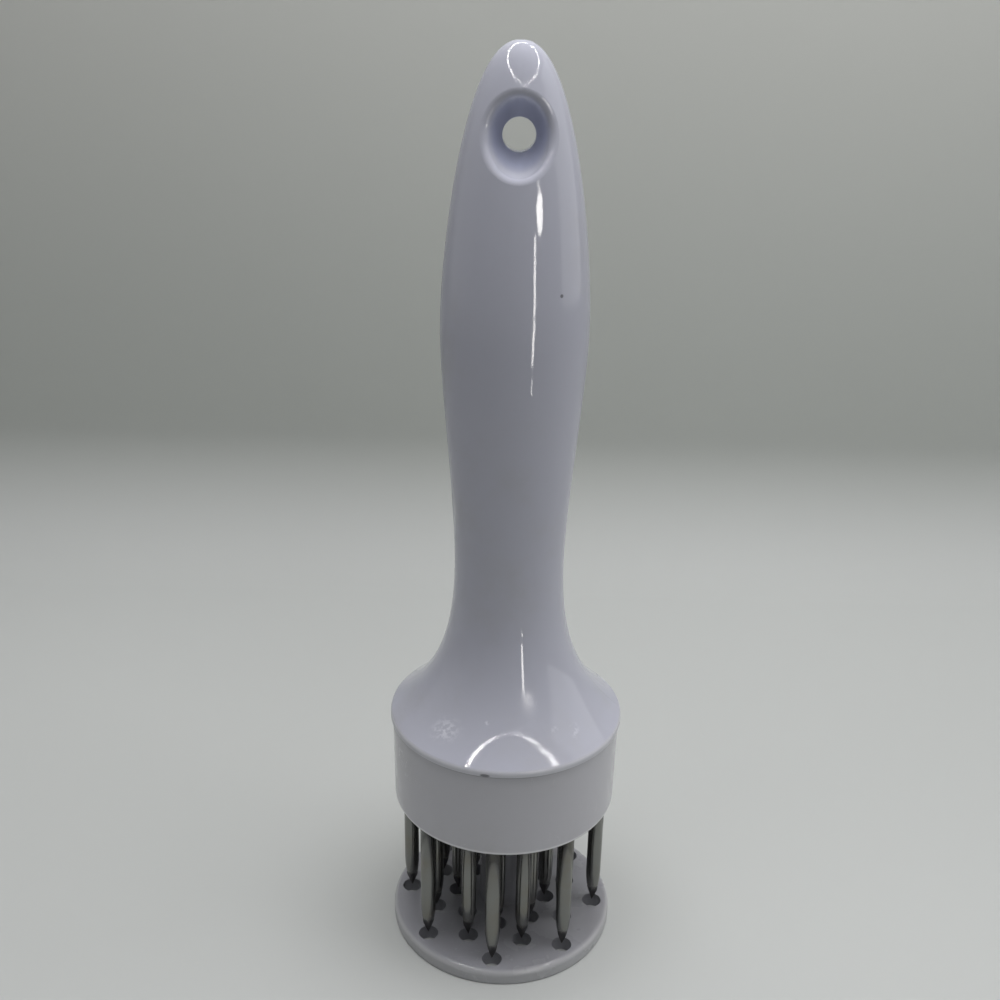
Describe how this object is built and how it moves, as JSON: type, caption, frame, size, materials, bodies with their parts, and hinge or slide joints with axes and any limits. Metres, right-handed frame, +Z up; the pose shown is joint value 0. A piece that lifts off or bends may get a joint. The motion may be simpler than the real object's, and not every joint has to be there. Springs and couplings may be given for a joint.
{
  "type": "blade meat tenderizer",
  "caption": "Hand-held meat tenderizer with a contoured handle, a round cup of steel needle blades and a spring-loaded guard plate that slides up over them.",
  "frame": {"origin": "middle of the underside of the guard plate, on the surface that the tool stands on", "axes": "+Z up along the handle, -Y towards the viewer of the picture, hanging hole along Y"},
  "size_m": [0.052, 0.052, 0.1985],
  "materials": {
    "white_plastic": "gloss",
    "polished_steel": "polished",
    "spring_steel": "satin"
  },
  "bodies": {
    "handle_body": {"handle": "white_plastic", "blade_holder": "white_plastic", "clamp_disc": "white_plastic", "holder_screws": "spring_steel", "return_spring": "spring_steel", "blade_outer_1": "polished_steel", "blade_outer_2": "polished_steel", "blade_outer_3": "polished_steel", "blade_outer_4": "polished_steel", "blade_outer_5": "polished_steel", "blade_outer_6": "polished_steel", "blade_outer_7": "polished_steel", "blade_outer_8": "polished_steel", "blade_middle_1": "polished_steel", "blade_middle_2": "polished_steel", "blade_middle_3": "polished_steel", "blade_middle_4": "polished_steel", "blade_middle_5": "polished_steel", "blade_middle_6": "polished_steel", "blade_middle_7": "polished_steel", "blade_middle_8": "polished_steel", "blade_inner_1": "polished_steel", "blade_inner_2": "polished_steel", "blade_inner_3": "polished_steel", "blade_inner_4": "polished_steel", "blade_inner_5": "polished_steel", "blade_inner_6": "polished_steel", "blade_inner_7": "polished_steel", "blade_inner_8": "polished_steel"},
    "guard": {"guard_plate": "white_plastic", "plunger_post": "white_plastic", "guard_screw": "spring_steel"}
  },
  "joints": [
    {"name": "guard_slide", "type": "slide", "parent": "handle_body", "child": "guard", "axis": [0, 0, 1], "range_m": [0, 0.0315], "stiffness_N_per_m": 450, "springref_m": -0.01, "deforming": ["return_spring"]}
  ]
}
